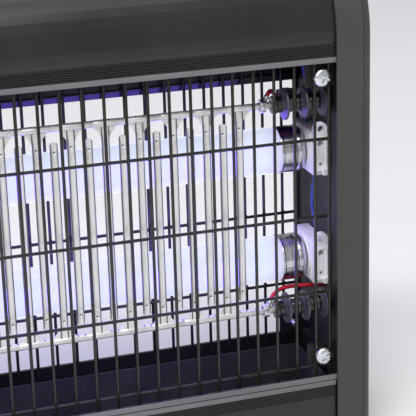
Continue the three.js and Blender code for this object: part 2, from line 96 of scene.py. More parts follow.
def makeCamera():
    data = bpy.data.cameras.new("mainCamera")
    data.lens, data.shift_y = cameraLook["lens"], cameraLook["shift"]
    data.clip_start, data.clip_end = 0.02, 40.0
    camera = bpy.data.objects.new("mainCamera", data)
    turn, dip, roll = (math.radians(cameraLook[key]) for key in ("turn", "dip", "roll"))
    aim = Matrix.Rotation(-turn, 4, "Z") @ Matrix.Rotation(math.pi / 2 - dip, 4, "X")
    place = Matrix.Translation([v * mm for v in cameraLook["place"]])
    camera.matrix_world = place @ aim @ Matrix.Rotation(roll, 4, "Z")
    scene.collection.objects.link(camera)
    scene.camera = camera


def areaLight(name, place, target, width, depth, watts, colour="#ffffff", spread=180):
    # a rectangle of light at `place`, its width kept level and its face turned to `target`
    data = bpy.data.lights.new(name, "AREA")
    data.shape, data.size, data.size_y = "RECTANGLE", width, depth
    data.energy, data.color = watts, linear(colour)[:3]
    data.spread = math.radians(spread)
    light = bpy.data.objects.new(name, data)
    way = np.array(target, float) - np.array(place, float)
    side = np.cross(way, (0, 0, 1)) if abs(way[2]) < 0.99 * np.linalg.norm(way) else np.array((1.0, 0, 0))
    side, back = side / np.linalg.norm(side), -way / np.linalg.norm(way)
    axes = np.stack([side, np.cross(back, side), back], 1)
    light.matrix_world = Matrix.Translation(place) @ Matrix(axes.tolist()).to_4x4()
    light.visible_camera = False
    scene.collection.objects.link(light)


def makeStudio():
    scene.view_settings.view_transform = "Standard"
    world = bpy.data.worlds.new("studioWorld")
    scene.world = world
    world.use_nodes = True
    background = world.node_tree.nodes["Background"]
    background.inputs["Color"].default_value = linear(studioLook["worldColour"])
    background.inputs["Strength"].default_value = studioLook["world"]
    for name, softbox in studioLook["softboxes"].items():
        areaLight(name + "Softbox", *softbox)


# The violet light that the tubes cast: strips of light just off the glass, one on each side of each tube.
def makeLampGlow():
    length, width = studioLook["lampStrip"]
    colour = studioLook["lampColour"]
    for level in levels:
        low, high = boxOf(level + "_lamp_tube")
        middle, reach = (low + high) / 2, (high[2] - low[2]) / 2 + 0.6
        for name, (way, watts, spread) in studioLook["lampGlow"].items():
            start, ahead = (middle + np.array(way) * reach) * mm, np.array(way) * 0.1
            areaLight(level + "Glow" + name, start, start + ahead, length, width, watts, colour, spread)


def makeFloor():
    reach = studioLook["floorReach"]
    mesh = bpy.data.meshes.new("studioFloor")
    corners = [(-reach, -reach, 0), (reach, -reach, 0), (reach, reach, 0), (-reach, reach, 0)]
    mesh.from_pydata(corners, [], [(0, 1, 2, 3)])
    floor = bpy.data.objects.new("studioFloor", mesh)
    floor.location.z = -0.0005  # a hair under the base, so that the two surfaces don't coincide
    scene.collection.objects.link(floor)
    material = bpy.data.materials.new("pale studio paper")
    material.use_nodes = True
    shader = material.node_tree.nodes["Principled BSDF"]
    shader.inputs["Base Color"].default_value = linear(studioLook["floor"])
    shader.inputs["Roughness"].default_value = 0.9
    mesh.materials.append(material)


def boxOf(node):
    low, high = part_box(node)
    return np.array(low) / mm, np.array(high) / mm


def middleOf(node):
    return sum(boxOf(node)) / 2


makeCamera()
makeStudio()
makeFloor()
makeLampGlow()
print("camera, lights and floor ready")


# Shapes: a part is (points, faces), closed, with its faces pointing out.
def outward(points, faces):
    # six times the volume is the sum of a . (b x c) over each face's fan of triangles
    volume = 0.0
    for size in {len(face) for face in faces}:
        ring = points[np.array([face for face in faces if len(face) == size])]
        fan = np.cross(ring[:, 1:-1], ring[:, 2:])
        volume += np.einsum("ik,ijk->", ring[:, 0], fan)
    return points, faces if volume > 0 else [face[::-1] for face in faces]


def skin(rings, loop=False):
    # each ring is joined to the next by one quad per point; open ends are closed by a flat face
    count, around = rings.shape[:2]
    index = np.arange(count * around).reshape(count, around)
    here, there = (index, np.roll(index, -1, 0)) if loop else (index[:-1], index[1:])
    quads = np.stack([here, np.roll(here, -1, 1), np.roll(there, -1, 1), there], -1)
    faces = quads.reshape(-1, 4).tolist()
    if not loop:
        faces += [index[0, ::-1].tolist(), index[-1].tolist()]
    return outward(rings.reshape(-1, 3), faces)


def softened(corners, reach=0.4, steps=4, closed=True):
    # each corner becomes a parabola that starts and ends `reach` away from it along its two edges
    corners = np.asarray(corners, float)
    before, after = np.roll(corners, 1, 0) - corners, np.roll(corners, -1, 0) - corners
    reach = np.broadcast_to(np.asarray(reach, float).reshape(-1, 1), (len(corners), 1))
    start = corners + before * np.minimum(reach / np.linalg.norm(before, axis=1, keepdims=True), 0.49)
    end = corners + after * np.minimum(reach / np.linalg.norm(after, axis=1, keepdims=True), 0.49)
    t = np.linspace(0, 1, steps + 1)[None, :, None]
    curve = (1 - t) ** 2 * start[:, None] + 2 * t * (1 - t) * corners[:, None] + t ** 2 * end[:, None]
    if closed:
        return curve.reshape(-1, corners.shape[1])
    inner = curve[1:-1].reshape(-1, corners.shape[1])
    return np.vstack([corners[:1], inner, corners[-1:]])


def alongX(section, xs):
    # a closed (y, z) section repeated at each x
    rings = np.empty((len(xs), len(section), 3))
    rings[..., 0], rings[..., 1:] = np.asarray(xs, float)[:, None], section
    return skin(rings)


def turned(profile, sides=32, centre=(0, 0, 0), loop=False):
    # (x, radius) turned about X: y is radius times cosine and z is radius times sine
    x, radius = np.asarray(profile, float).T[:, :, None]
    angle = np.linspace(0, 2 * np.pi, sides, endpoint=False)
    rings = np.stack([x + 0 * angle, radius * np.cos(angle), radius * np.sin(angle)], -1)
    return skin(rings + np.asarray(centre, float), loop)


def tube(path, radius, sides=12):
    # a circle carried along the path; its axes turn only as far as the path does
    path = np.asarray(path, float)
    way = np.gradient(path, axis=0)
    way /= np.linalg.norm(way, axis=1, keepdims=True)
    across, normals = np.cross(way[0], (0.31, 0.52, 0.79)), []
    for step in way:
        across = across - step * (across @ step)
        across /= np.linalg.norm(across)
        normals.append(across)
    normals = np.array(normals)[:, None]
    other = np.cross(way[:, None], normals)
    angle = np.linspace(0, 2 * np.pi, sides, endpoint=False)[None, :, None]
    size = np.broadcast_to(radius, len(path))[:, None, None]
    return skin(path[:, None] + size * (np.cos(angle) * normals + np.sin(angle) * other))


def throughPoints(points, steps=6):
    # a cubic between each two points, its slopes weighted by the square roots of the spans around it
    p = np.asarray(points, float)
    p = np.vstack([2 * p[0] - p[1], p, 2 * p[-1] - p[-2]])
    span = np.sqrt(np.linalg.norm(np.diff(p, axis=0), axis=1))[:, None]
    a, b, c, d = p[:-3], p[1:-2], p[2:-1], p[3:]
    s, m, e = span[:-2], span[1:-1], span[2:]
    leave = ((b - a) / s - (c - a) / (s + m) + (c - b) / m) * m
    reach = ((c - b) / m - (d - b) / (m + e) + (d - c) / e) * m
    t = (np.arange(steps) / steps)[None, :, None]
    b, c, leave, reach = (v[:, None] for v in (b, c, leave, reach))
    square, cube = 3 * (c - b) - 2 * leave - reach, 2 * (b - c) + leave + reach
    curve = b + leave * t + square * t ** 2 + cube * t ** 3
    return np.vstack([curve.reshape(-1, 3), p[-2]])


def block(low, high, corner=0.6, edge=0.4, axis=0, steps=3):
    # rings of a rounded rectangle along `axis`; the first and last ones shrink along a quarter circle
    low, high = np.array(low, float), np.array(high, float)
    middle, half = (low + high) / 2, (high - low) / 2
    first, second = (axis + 1) % 3, (axis + 2) % 3
    angle = np.linspace(0, np.pi / 2, steps)
    start, end = edge * (1 - np.cos(angle)), edge * (1 - np.cos(angle[::-1]))
    along = np.concatenate([start - half[axis], half[axis] - end])
    inset = np.concatenate([edge * (1 - np.sin(angle)), edge * (1 - np.sin(angle[::-1]))])
    rings = []
    for place, less in zip(along, inset):
        w, h = half[first] - less, half[second] - less
        outline = softened([(-w, -h), (w, -h), (w, h), (-w, h)], max(corner - less, 0.05), steps)
        ring = np.empty((len(outline), 3))
        ring[:, axis], ring[:, first], ring[:, second] = place, outline[:, 0], outline[:, 1]
        rings.append(ring + middle)
    return skin(np.array(rings))


def moved(part, offset=(0, 0, 0), basis=None):
    points, faces = part
    if basis is not None:
        points = points @ np.array(basis, float).T
        if np.linalg.det(basis) < 0:
            faces = [face[::-1] for face in faces]
    return points + np.asarray(offset, float), faces


def placed(groups, offset, basis):
    # every part of every finish, moved alike
    return {finish: [moved(part, offset, basis) for part in parts] for finish, parts in groups.items()}


def repeated(part, offsets):
    # one copy of the part at each offset, as one part
    points, faces = part
    count = len(points)
    placed = (points[None] + np.asarray(offsets, float)[:, None]).reshape(-1, 3)
    return placed, [[i + count * n for i in face] for n in range(len(offsets)) for face in faces]


towardsZ = np.array([(0, 1, 0), (0, 0, 1), (1, 0, 0)], float)  # a part made along X, stood along Z
towardsFront = np.array([(0, 1, 0), (-1, 0, 0), (0, 0, 1)], float)  # made along X, aimed at -Y
towardsRear = np.array([(0, -1, 0), (1, 0, 0), (0, 0, 1)], float)


def looseObject(name, part):
    mesh = bpy.data.meshes.new(name)
    mesh.from_pydata(part[0].tolist(), [], part[1])
    made = bpy.data.objects.new(name, mesh)
    scene.collection.objects.link(made)
    return made


def carved(base, joins=(), cuts=()):
    # Blender's exact Boolean joins and cuts the closed parts, and the result is read back as one part
    body = looseObject("carving", base)
    helpers = []
    for operation, shapes in (("UNION", joins), ("DIFFERENCE", cuts)):
        for shape in shapes:
            helpers.append(looseObject("tool", shape))
            step = body.modifiers.new("step", "BOOLEAN")
            step.object, step.operation, step.solver = helpers[-1], operation, "EXACT"
    bpy.context.view_layer.update()
    mesh = bpy.data.meshes.new_from_object(body.evaluated_get(bpy.context.evaluated_depsgraph_get()))
    points = np.empty(len(mesh.vertices) * 3)
    mesh.vertices.foreach_get("co", points)
    faces = [list(face.vertices) for face in mesh.polygons]
    for used in [body, *helpers]:
        data = used.data
        bpy.data.objects.remove(used)
        bpy.data.meshes.remove(data)
    bpy.data.meshes.remove(mesh)
    return points.reshape(-1, 3), faces


def camelCase(node):
    first, *rest = node.split("_")
    return first + "".join(word.capitalize() for word in rest)


def makePiece(node, groups, sharp=32):
    # groups: finish name to its list of parts; the first finish's slot is looked up but not given to the
    # piece
    points, faces, chosen, start = [], [], [], 0
    for number, parts in enumerate(groups.values()):
        for part in parts:
            points.append(part[0])
            faces += [[i + start for i in face] for face in part[1]]
            chosen += [number] * len(part[1])
            start += len(part[0])
    mesh = bpy.data.meshes.new(camelCase(node))
    mesh.from_pydata((np.concatenate(points) * mm).tolist(), [], faces)
    for finish in groups:
        mesh.materials.append(finishes[finish][0])
    mesh.polygons.foreach_set("material_index", chosen)
    mesh.shade_smooth()
    mesh.set_sharp_from_angle(angle=math.radians(sharp))
    piece = bpy.data.objects.new(camelCase(node), mesh)
    scene.collection.objects.link(piece)
    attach(piece, bodyOf[node])
    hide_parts(node)
    finishes[next(iter(groups))][1]
    return piece


# Materials; the strips' one needs the combs' sizes
combLook = {
    "count": 40,
    "reach": 178.4,
    "plane": -16.0,
    "width": 4.2,
    "head": 12.7,
    "taperStart": 1.9,
    "taperEnd": 7.4,
    "sheet": 0.6,
    "ribHeight": 0.55,
    "ribPlace": 0.72,  # of the half width
    "ribWidth": 0.17,
    "tipRound": 1.2,
    "endGap": 5.8,
    "pressings": ((11.0, 0.6, 0.75), (16.0, 1.05, 0.4)),  # mm below the rail, radius, depth
    "endPressings": ((5.5, 0.6, 0.75), (8.6, 1.05, 0.4)),  # mm above the free end, radius, depth
    "holeShadow": 0.55,
    "edgeLine": (1.3, 1.65, 2.3),  # mm from the middle: the painted edge shade starts, is darkest, ends
    "railRadius": 1.9,
}
combLook["pitch"] = 2 * combLook["reach"] / (combLook["count"] - 1)


def addNode(tree, kind, settings=None, links=None):
    made = tree.nodes.new(kind)
    for key, value in (settings or {}).items():
        if isinstance(key, str) and hasattr(made, key):
            setattr(made, key, value)
        else:
            made.inputs[key].default_value = value
    for key, socket in (links or {}).items():
        tree.links.new(socket, made.inputs[key])
    return made


def startMaterial(name, shader):
    material = bpy.data.materials.new(name)
    material.use_nodes = True
    tree = material.node_tree
    principled = tree.nodes["Principled BSDF"]
    for key, value in shader.items():
        principled.inputs[key].default_value = value
    place = addNode(tree, "ShaderNodeTexCoord").outputs["Object"]
    return material, tree, principled, place


def shadeBetween(tree, value, low, high, start=0.35, end=0.65):
    ramp = addNode(tree, "ShaderNodeValToRGB", links={"Fac": value})
    for element, place, code in zip(ramp.color_ramp.elements, (start, end), (low, high)):
        element.position, element.color = place, linear(code)
    return ramp.outputs["Color"]


# Colour and roughness drift over `drift` mm, and a grain `grain` mm across stands `depth` mm high.
def weathered(name, shader, shades, drift, roughness, grain, depth, stretch=(1, 1, 1)):
    material, tree, principled, place = startMaterial(name, shader)
    mapped = addNode(tree, "ShaderNodeMapping", {"Scale": stretch}, {"Vector": place}).outputs["Vector"]
    slow, fine = (
        addNode(
            tree, "ShaderNodeTexNoise", {"Scale": 1 / (size * mm), "Detail": detail, "Roughness": mix},
            {"Vector": mapped},
        ).outputs["Fac"]
        for size, detail, mix in ((drift, 6.0, 0.62), (grain, 3.0, 0.55))
    )
    span = {"From Min": 0.3, "From Max": 0.7, "To Min": roughness[0], "To Max": roughness[1]}
    rough = addNode(tree, "ShaderNodeMapRange", span, {"Value": slow}).outputs["Result"]
    bump = addNode(tree, "ShaderNodeBump", {"Strength": 0.6, "Distance": depth * mm}, {"Height": fine})
    tree.links.new(shadeBetween(tree, slow, *shades), principled.inputs["Base Color"])
    tree.links.new(rough, principled.inputs["Roughness"])
    tree.links.new(bump.outputs["Normal"], principled.inputs["Normal"])
    return material


# Each finish: its material's name, the record's slot, shader settings, two shades, drift, roughness from and
# to, grain, depth, and a stretch where the marks run one way.
finishLook = {
    # Extruded aluminium under gloss powder coat: near black, its slow orange peel breaks up reflections.
    "profile": (
        "gloss powder coated aluminium", "profile_paint",
        {"IOR": 1.5, "Specular IOR Level": 0.35, "Coat Weight": 0.3, "Coat Roughness": 0.12},
        ("#171714", "#1e1e1a"), 45, (0.27, 0.36), 1.1, 0.012,
    ),
    # The same extrusion's lip, a satin mid grey whose lightness is a painted sheen: the light that its flat
    # face catches.
    "lip": (
        "rubbed satin lip", "profile_paint",
        {"IOR": 1.5}, ("#5c5c5c", "#6c6c6e"), 30, (0.42, 0.55), 0.7, 0.01, (0.15, 1, 1),
    ),
    # Moulded ABS with a spark-eroded grain: soft even sheen, slightly olive grey.
    "cheek": (
        "grained moulded abs", "cheek_plastic",
        {"IOR": 1.53}, ("#31312e", "#383835"), 60, (0.42, 0.52), 0.55, 0.03,
    ),
    # Steel sheet under matt black powder coat: a fine pebble and almost no colour.
    "sheet": (
        "matt powder coated sheet", "black_sheet",
        {"IOR": 1.5}, ("#121211", "#1b1b19"), 25, (0.5, 0.65), 0.6, 0.03,
    ),
    # Welded steel wire, dipped in gloss black: thin bright lines along each wire, tiny runs in the coat.
    "wire": (
        "dip coated steel wire", "guard_wire",
        {"IOR": 1.5, "Specular IOR Level": 0.3, "Coat Weight": 0.3, "Coat Roughness": 0.1},
        ("#1e1e19", "#292923"), 12, (0.22, 0.3), 2.2, 0.02,
    ),
    # Bright zinc plate: cool silver with a faint bloom.
    "zinc": (
        "bright zinc plate", "zinc_steel",
        {"Metallic": 1.0}, ("#c9cccf", "#e4e6e8"), 3, (0.2, 0.34), 0.5, 0.008,
    ),
    # Bright drawn wire: zinc again, with die lines so close together that only a soft streak shows.
    "bail": (
        "zinc plated drawn wire", "zinc_steel",
        {"Metallic": 1.0}, ("#a9adb0", "#d3d6d8"), 5, (0.24, 0.4), 0.4, 0.01, (0.1, 1, 1),
    ),
    # Stamped stainless strip, milled along its length: pale silver with long faint streaks.
    "strip": (
        "milled stainless strip", "electrode_metal",
        {"Metallic": 0.6}, ("#dcdcd8", "#eeeeea"), 9, (0.3, 0.46), 0.5, 0.012, (1, 1, 0.06),
    ),
    # Black phenolic moulding: deep gloss with small clear highlights.
    "insulator": (
        "gloss phenolic moulding", "insulator_plastic",
        {"IOR": 1.6, "Coat Weight": 0.5, "Coat Roughness": 0.08},
        ("#121211", "#1b1a1b"), 8, (0.2, 0.3), 1.5, 0.015,
    ),
    # The same moulding's thin skirts in a lighter violet grey: painted violet lamp light, which also lets the
    # tubes' real light show on them.
    "skirt": (
        "dusty phenolic skirt", "insulator_plastic",
        {"IOR": 1.6}, ("#3a3742", "#4c4856"), 5, (0.35, 0.5), 0.8, 0.02,
    ),
    # White polycarbonate: clean, a little light coming through, fine pimples from the mould.
    "white": (
        "white moulded polycarbonate", "white_plastic",
        {"IOR": 1.58, "Subsurface Weight": 0.12, "Subsurface Scale": 0.002},
        ("#e4e3e8", "#f1f0f4"), 14, (0.34, 0.44), 0.5, 0.012,
    ),
    # Silicone sleeve over the high-voltage leads: deep red, soft highlight, slightly dusty.
    "red": (
        "red silicone sleeve", "red_sleeve",
        {"IOR": 1.41}, ("#a3182c", "#c2263c"), 6, (0.3, 0.42), 0.6, 0.015,
    ),
    # PVC insulation on the lamp leads: blue, smoother than the silicone.
    "blue": (
        "blue pvc insulation", "blue_sleeve",
        {"IOR": 1.53}, ("#243685", "#2f459c"), 6, (0.28, 0.38), 0.6, 0.01,
    ),
    # Stoved paint on the catch tray: dark grey, with scuffs from being emptied.
    "tray": (
        "stoved tray paint", "tray_paint",
        {"IOR": 1.5}, ("#33332f", "#403f3b"), 18, (0.38, 0.56), 0.9, 0.02,
    ),
    # White enamelled tin round the ballast.
    "ballast": (
        "enamelled ballast tin", "ballast_case",
        {"IOR": 1.52}, ("#d4d4cf", "#e2e2de"), 20, (0.35, 0.5), 1.0, 0.02,
    ),
    # Natural nylon of the terminal block: warm, a little waxy.
    "natural": (
        "natural nylon", "terminal_plastic",
        {"IOR": 1.53, "Subsurface Weight": 0.15, "Subsurface Scale": 0.002},
        ("#dcd7c6", "#e9e5d8"), 10, (0.4, 0.52), 0.7, 0.015,
    ),
    # Glass-filled black nylon: satin, with a dry fine grain.
    "black": (
        "glass filled black nylon", "black_plastic",
        {"IOR": 1.53}, ("#151515", "#1f1f1e"), 10, (0.4, 0.52), 0.5, 0.02,
    ),
    # Spun aluminium lamp cap: bright, its turning marks run round the axis and stretch the highlights.
    "cap": (
        "spun aluminium", "lamp_cap",
        {"Metallic": 1.0, "Anisotropic": 0.6},
        ("#b9b9bd", "#dcdce0"), 2.4, (0.16, 0.3), 0.35, 0.008, (1, 0.08, 0.08),
    ),
}
# colour of the painted shade along the strips' edges
edgeShadeColour = "#57564f"
coreLook = {"lamination": 0.5, "edges": ("#3c3731", "#6b645a")}
glassLook = {"endFade": 22.0, "cloud": 14.0, "glow": ("#e4ebff", "#d2d2f4"), "coat": ("#5c5c68", "#666673")}


# A painted shade line down each side of a strip, for its rolled edges turning from the light, found from the
# distance to the nearest strip's middle, which comes round once in every pitch of the two combs together.
def darkenEdges(material):
    tree = material.node_tree
    principled = tree.nodes["Principled BSDF"]
    place = tree.nodes["Texture Coordinate"].outputs["Object"]
    split = addNode(tree, "ShaderNodeSeparateXYZ", links={"Vector": place}).outputs
    pitch, aside = combLook["pitch"] * mm, split["X"]
    shift = combLook["reach"] * mm + 50.5 * pitch  # each strip's middle lands on half a pitch
    for kind, value in (("ADD", shift), ("MODULO", pitch), ("SUBTRACT", pitch / 2), ("ABSOLUTE", 0)):
        aside = addNode(tree, "ShaderNodeMath", {"operation": kind, 1: value}, {0: aside}).outputs[0]
    start, dark, end = (v * mm for v in combLook["edgeLine"])
    line = addNode(
        tree, "ShaderNodeMapRange", {"From Min": start, "From Max": dark, "To Max": 0.9}, {"Value": aside}
    ).outputs["Result"]
    factor = line
    for kind, settings, source in (
        ("LESS_THAN", {1: end}, aside),
        ("COMPARE", {1: combLook["plane"] * mm, 2: 1.1 * mm}, split["Y"]),  # close to the sheet's plane
    ):
        inside = addNode(tree, "ShaderNodeMath", {"operation": kind, **settings}, {0: source}).outputs[0]
        factor = addNode(tree, "ShaderNodeMath", {"operation": "MULTIPLY"}, {0: factor, 1: inside}).outputs[0]
    unshadedColour = principled.inputs["Base Color"].links[0].from_socket
    mixed = addNode(
        tree, "ShaderNodeMix", {"data_type": "RGBA", 7: linear(edgeShadeColour)}, {"Factor": factor, 6: unshadedColour}
    )
    tree.links.new(mixed.outputs[2], principled.inputs["Base Color"])


# Transformer core: varnished steel laminations half a millimetre thick, seen as fine stripes on edge.
def laminatedCore():
    shader = {"Metallic": 0.7, "Roughness": 0.55}
    material, tree, principled, place = startMaterial("varnished laminations", shader)
    waves = {"bands_direction": "Y", "Scale": 1 / (coreLook["lamination"] * mm) / 20, "Distortion": 0.4}
    bands = addNode(tree, "ShaderNodeTexWave", waves, {"Vector": place}).outputs["Fac"]
    bump = addNode(tree, "ShaderNodeBump", {"Strength": 0.5, "Distance": 0.1 * mm}, {"Height": bands})
    colour = shadeBetween(tree, bands, *coreLook["edges"], 0.2, 0.8)
    tree.links.new(colour, principled.inputs["Base Color"])
    tree.links.new(bump.outputs["Normal"], principled.inputs["Normal"])
    return material


# Phosphor-coated tube, lit: pale lavender, greyer in the last stretch at each end, where the cathode sits.
def litPhosphor():
    tubeEnd = boxOf("right_upper_lamp_cap")[0][0]
    shader = {"Roughness": 0.12, "IOR": 1.5, "Emission Strength": 0.86}
    material, tree, principled, place = startMaterial("lit phosphor tube", shader)
    x = addNode(tree, "ShaderNodeSeparateXYZ", links={"Vector": place}).outputs["X"]
    distance = addNode(tree, "ShaderNodeMath", {"operation": "ABSOLUTE"}, {0: x}).outputs["Value"]
    span = {"From Min": (tubeEnd - glassLook["endFade"]) * mm, "From Max": tubeEnd * mm}
    ending = addNode(tree, "ShaderNodeMapRange", span, {"Value": distance}).outputs["Result"]
    grain = {"Scale": 1 / (glassLook["cloud"] * mm), "Detail": 3.0}
    cloud = addNode(tree, "ShaderNodeTexNoise", grain, {"Vector": place}).outputs["Fac"]
    glow = shadeBetween(tree, ending, *glassLook["glow"], 0.55, 1.0)
    tree.links.new(glow, principled.inputs["Emission Color"])
    tree.links.new(shadeBetween(tree, cloud, *glassLook["coat"]), principled.inputs["Base Color"])
    return material


finishes = {finish: (weathered(name, *look), slot) for finish, (name, slot, *look) in finishLook.items()}
finishes["core"] = (laminatedCore(), "transformer_core")
finishes["lamp"] = (litPhosphor(), "lamp_glass")
darkenEdges(finishes["strip"][0])
keptNodes = {
    "gear_tray": "sheet", "left_side_plate": "sheet", "right_side_plate": "sheet", "tray_pan": "tray",
    "ballast": "ballast", "ht_transformer": "core", "terminal_block": "natural",
}
for node, finish in keptNodes.items():
    mesh = frame["nodes"][node].data
    mesh.materials.clear()
    mesh.materials.append(finishes[finish][0])
print("materials ready:", len(finishes))


# Guards
guardLook = {
    "wire": 1.8,  # diameter
    "count": 39,
    "pitch": 11.45,
    "edgeWire": 225.7,
    "faceInset": 0.8,
    "crossPitch": 44.34,
    "middleCross": {"front": 134.0, "rear": 119.9},
    "weldDepth": 0.15,
    "weldWidth": 2.6,
    "weldHalf": 0.55,
}


def roundEnded(low, high, radius, sides=10):
    # a rod along X whose last half radius closes along two short cones
    ends = [(0.0, 0.55), (0.2, 0.85), (0.5, 1.0)]
    profile = [(low + a * radius, r * radius) for a, r in ends]
    profile += [(high - a * radius, r * radius) for a, r in ends[::-1]]
    return turned(profile, sides)


def makeGuard(face):
    # upright rods `pitch` apart, cross rods behind them, and a bead of weld wherever two rods cross
    low, high = boxOf(face + "_guard")
    radius = guardLook["wire"] / 2
    y = boxOf("front_guard")[0][1] + guardLook["faceInset"]
    places = (np.arange(guardLook["count"]) - (guardLook["count"] - 1) / 2) * guardLook["pitch"]
    places = np.concatenate([places, [-guardLook["edgeWire"], guardLook["edgeWire"]]])
    upright = moved(roundEnded(low[2], high[2], radius), basis=towardsZ)
    uprights = repeated(upright, np.stack([places, 0 * places, 0 * places], 1))
    heights = guardLook["middleCross"][face] + guardLook["crossPitch"] * np.arange(-2, 2)
    heights = heights[heights > low[2] + 2]
    behind = 2 * radius - guardLook["weldDepth"]
    cross = repeated(roundEnded(low[0], high[0], radius), [(0, behind, z) for z in heights])
    w, reach = guardLook["weldWidth"] / 2, guardLook["weldHalf"]
    profile = [(-reach, w * 0.45), (0.3 - reach, w), (reach - 0.3, w), (reach, w * 0.45)]
    bead = moved(turned(profile, 8), basis=towardsRear)
    beads = repeated(bead, [(x, behind / 2, z) for z in heights for x in places])
    parts = [moved(part, (0, y, 0)) for part in (uprights, cross, beads)]
    if face == "rear":
        parts = [moved(part, basis=np.diag((1.0, -1.0, 1.0))) for part in parts]
    makePiece(face + "_guard", {"wire": parts}, 44)


for face in ("front", "rear"):
    makeGuard(face)
print("guards made")


# Case: the extruded top, the base and the two end cheeks
caseLook = {
    "wall": 2.0,
    "floorWall": 1.2,
    "lipBand": 3.0,
    "ribPitch": 1.2,
    "ribCount": 6,
    "ribDepth": 0.6,
    "ribShape": (0.0, 0.22, 0.38, 0.86),  # where its sides start and end, as parts of a pitch
    "edgeRound": 0.22,
    "frontLip": 222.0,
    "frontShoulder": 234.0,
    "rearShoulder": 213.5,
    "halfCrown": 14.0,
    "baseCorner": 3.0,
    "baseFront": -31.0,
    "railDepth": 3.2,
    "cheekRound": 4.4,
    "cheekWall": 2.2,
    "footRound": 6.0,
    "bossStart": 231.5,
    "bossRadius": 6.0,
}


def ribPoints(y, z, step):
    # grooves cut `ribDepth` into a wall at y, one every `ribPitch`, going up (step 1) or down (step -1)
    inside = y - np.sign(y) * caseLook["ribDepth"]
    foot = z + step * caseLook["ribPitch"] * np.arange(caseLook["ribCount"])
    depth = np.array([inside, inside, y, y])
    climb = step * caseLook["ribPitch"] * np.array(caseLook["ribShape"])
    points = np.stack([np.tile(depth, len(foot)), (foot[:, None] + climb).ravel()], 1)
    top = z + step * caseLook["ribPitch"] * caseLook["ribCount"]
    return np.vstack([points, [(inside, top), (inside, top + step * 0.4)]])


def quarter(centre, radii, start, end, steps=10):
    # the centre plus (ry cos, rz sin) of an angle that runs from start to end in quarter turns
    angle = np.linspace(start, end, steps) * np.pi / 2
    return np.stack([centre[0] + radii[0] * np.cos(angle), centre[1] + radii[1] * np.sin(angle)], 1)


def makeTopProfile():
    # one section swept along X: lips, ribbed walls, quarter ellipses up to the flat crown, and a ledge
    # inside the rear lip
    low, high = boxOf("top_profile")
    outer, inner = high[1], high[1] - caseLook["wall"]
    crown, band, front = caseLook["halfCrown"], caseLook["lipBand"], caseLook["frontLip"]
    top, rear = high[2], low[2]
    arc, innerArc = outer - 0.3 - crown, inner - crown
    fore, aft = caseLook["frontShoulder"], caseLook["rearShoulder"]
    section = np.vstack([
        [(-outer, front), (-outer, front + band)],
        ribPoints(-outer, front + band, 1),
        quarter((-crown, fore), (arc, top - fore), 2, 1),
        quarter((crown, aft), (arc, top - aft), 1, 0),
        ribPoints(outer, rear + band, 1)[::-1],
        [(outer, rear + band), (outer, rear), (inner - 0.5, rear), (inner - 0.5, rear + band)],
        [(inner - 1.7, rear + band), (inner - 1.7, rear + band + 1.2), (inner, rear + band + 1.2)],
        quarter((crown, aft), (innerArc, top - 2 - aft), 0, 1),
        quarter((-crown, fore), (innerArc, top - 2 - fore), 1, 2),
        [(-inner, front + band), (0.5 - inner, front + band), (0.5 - inner, front)],
    ])
    section = softened(section, caseLook["edgeRound"], 2)
    piece = makePiece("top_profile", {"profile": [alongX(section, np.linspace(low[0], high[0], 9))]}, 28)
    paintLipSheen(piece, [(-outer, front, band), (outer, rear, band)])


def paintLipSheen(piece, lips):
    # the flat faces at y, from z to z + band, take the lip finish and with it its painted sheen
    mesh = piece.data
    mesh.materials.append(finishes["lip"][0])
    centres, normals = np.empty(len(mesh.polygons) * 3), np.empty(len(mesh.polygons) * 3)
    mesh.polygons.foreach_get("center", centres)
    mesh.polygons.foreach_get("normal", normals)
    centres, normals = centres.reshape(-1, 3) / mm, normals.reshape(-1, 3)
    chosen = np.zeros(len(centres), int)
    for y, z, band in lips:
        near = (abs(centres[:, 1] - y) < 0.2) & (centres[:, 2] > z - 0.1) & (centres[:, 2] < z + band + 0.1)
        chosen[near & (normals[:, 1] * np.sign(y) > 0.3)] = 1
    mesh.polygons.foreach_set("material_index", chosen)


def makeBase():
    # a floor and a ribbed rear wall swept along X, joined to a front rail and two end plates
    low, high = boxOf("bottom_chassis")
    outer, inner = high[1], high[1] - caseLook["wall"]
    sill, band, floor = high[2], caseLook["lipBand"], low[2]
    corner, rim, front = caseLook["baseCorner"], floor + caseLook["floorWall"], caseLook["baseFront"]
    rear = softened(np.vstack([
        [(outer, sill), (outer, sill - band)],
        ribPoints(outer, sill - band, -1),
        [(outer, floor + corner), (outer - corner, floor), (front, floor), (front, rim), (outer - 4.4, rim)],
        [(inner, floor + 3.6), (inner, sill)],
    ]), caseLook["edgeRound"], 2)
    under = sill - caseLook["railDepth"]
    rail = softened([
        (-outer, sill), (-inner, sill), (-inner, sill - 2), (4.5 - outer, sill - 2), (4.5 - outer, under),
        (-outer, under),
    ], 0.3, 2)
    end = softened([
        (-outer, sill), (-outer, floor + corner), (corner - outer, floor), (outer - corner, floor),
        (outer - 1, floor + corner), (outer - 1, sill),
    ], 0.3, 2)
    xs = np.linspace(low[0], high[0], 5)
    ends = [alongX(end, span) for span in ((low[0], low[0] + 1.5), (high[0] - 1.5, high[0]))]
    base = carved(alongX(rear, xs), joins=[alongX(rail, xs), *ends])
    piece = makePiece("bottom_chassis", {"profile": [base]}, 28)
    paintLipSheen(piece, [(outer, sill - band, band), (-outer, under, caseLook["railDepth"])])


trayLook = {"top": 38.4, "back": -30.3, "gripHalf": 45.0, "gripRoot": -31.0}


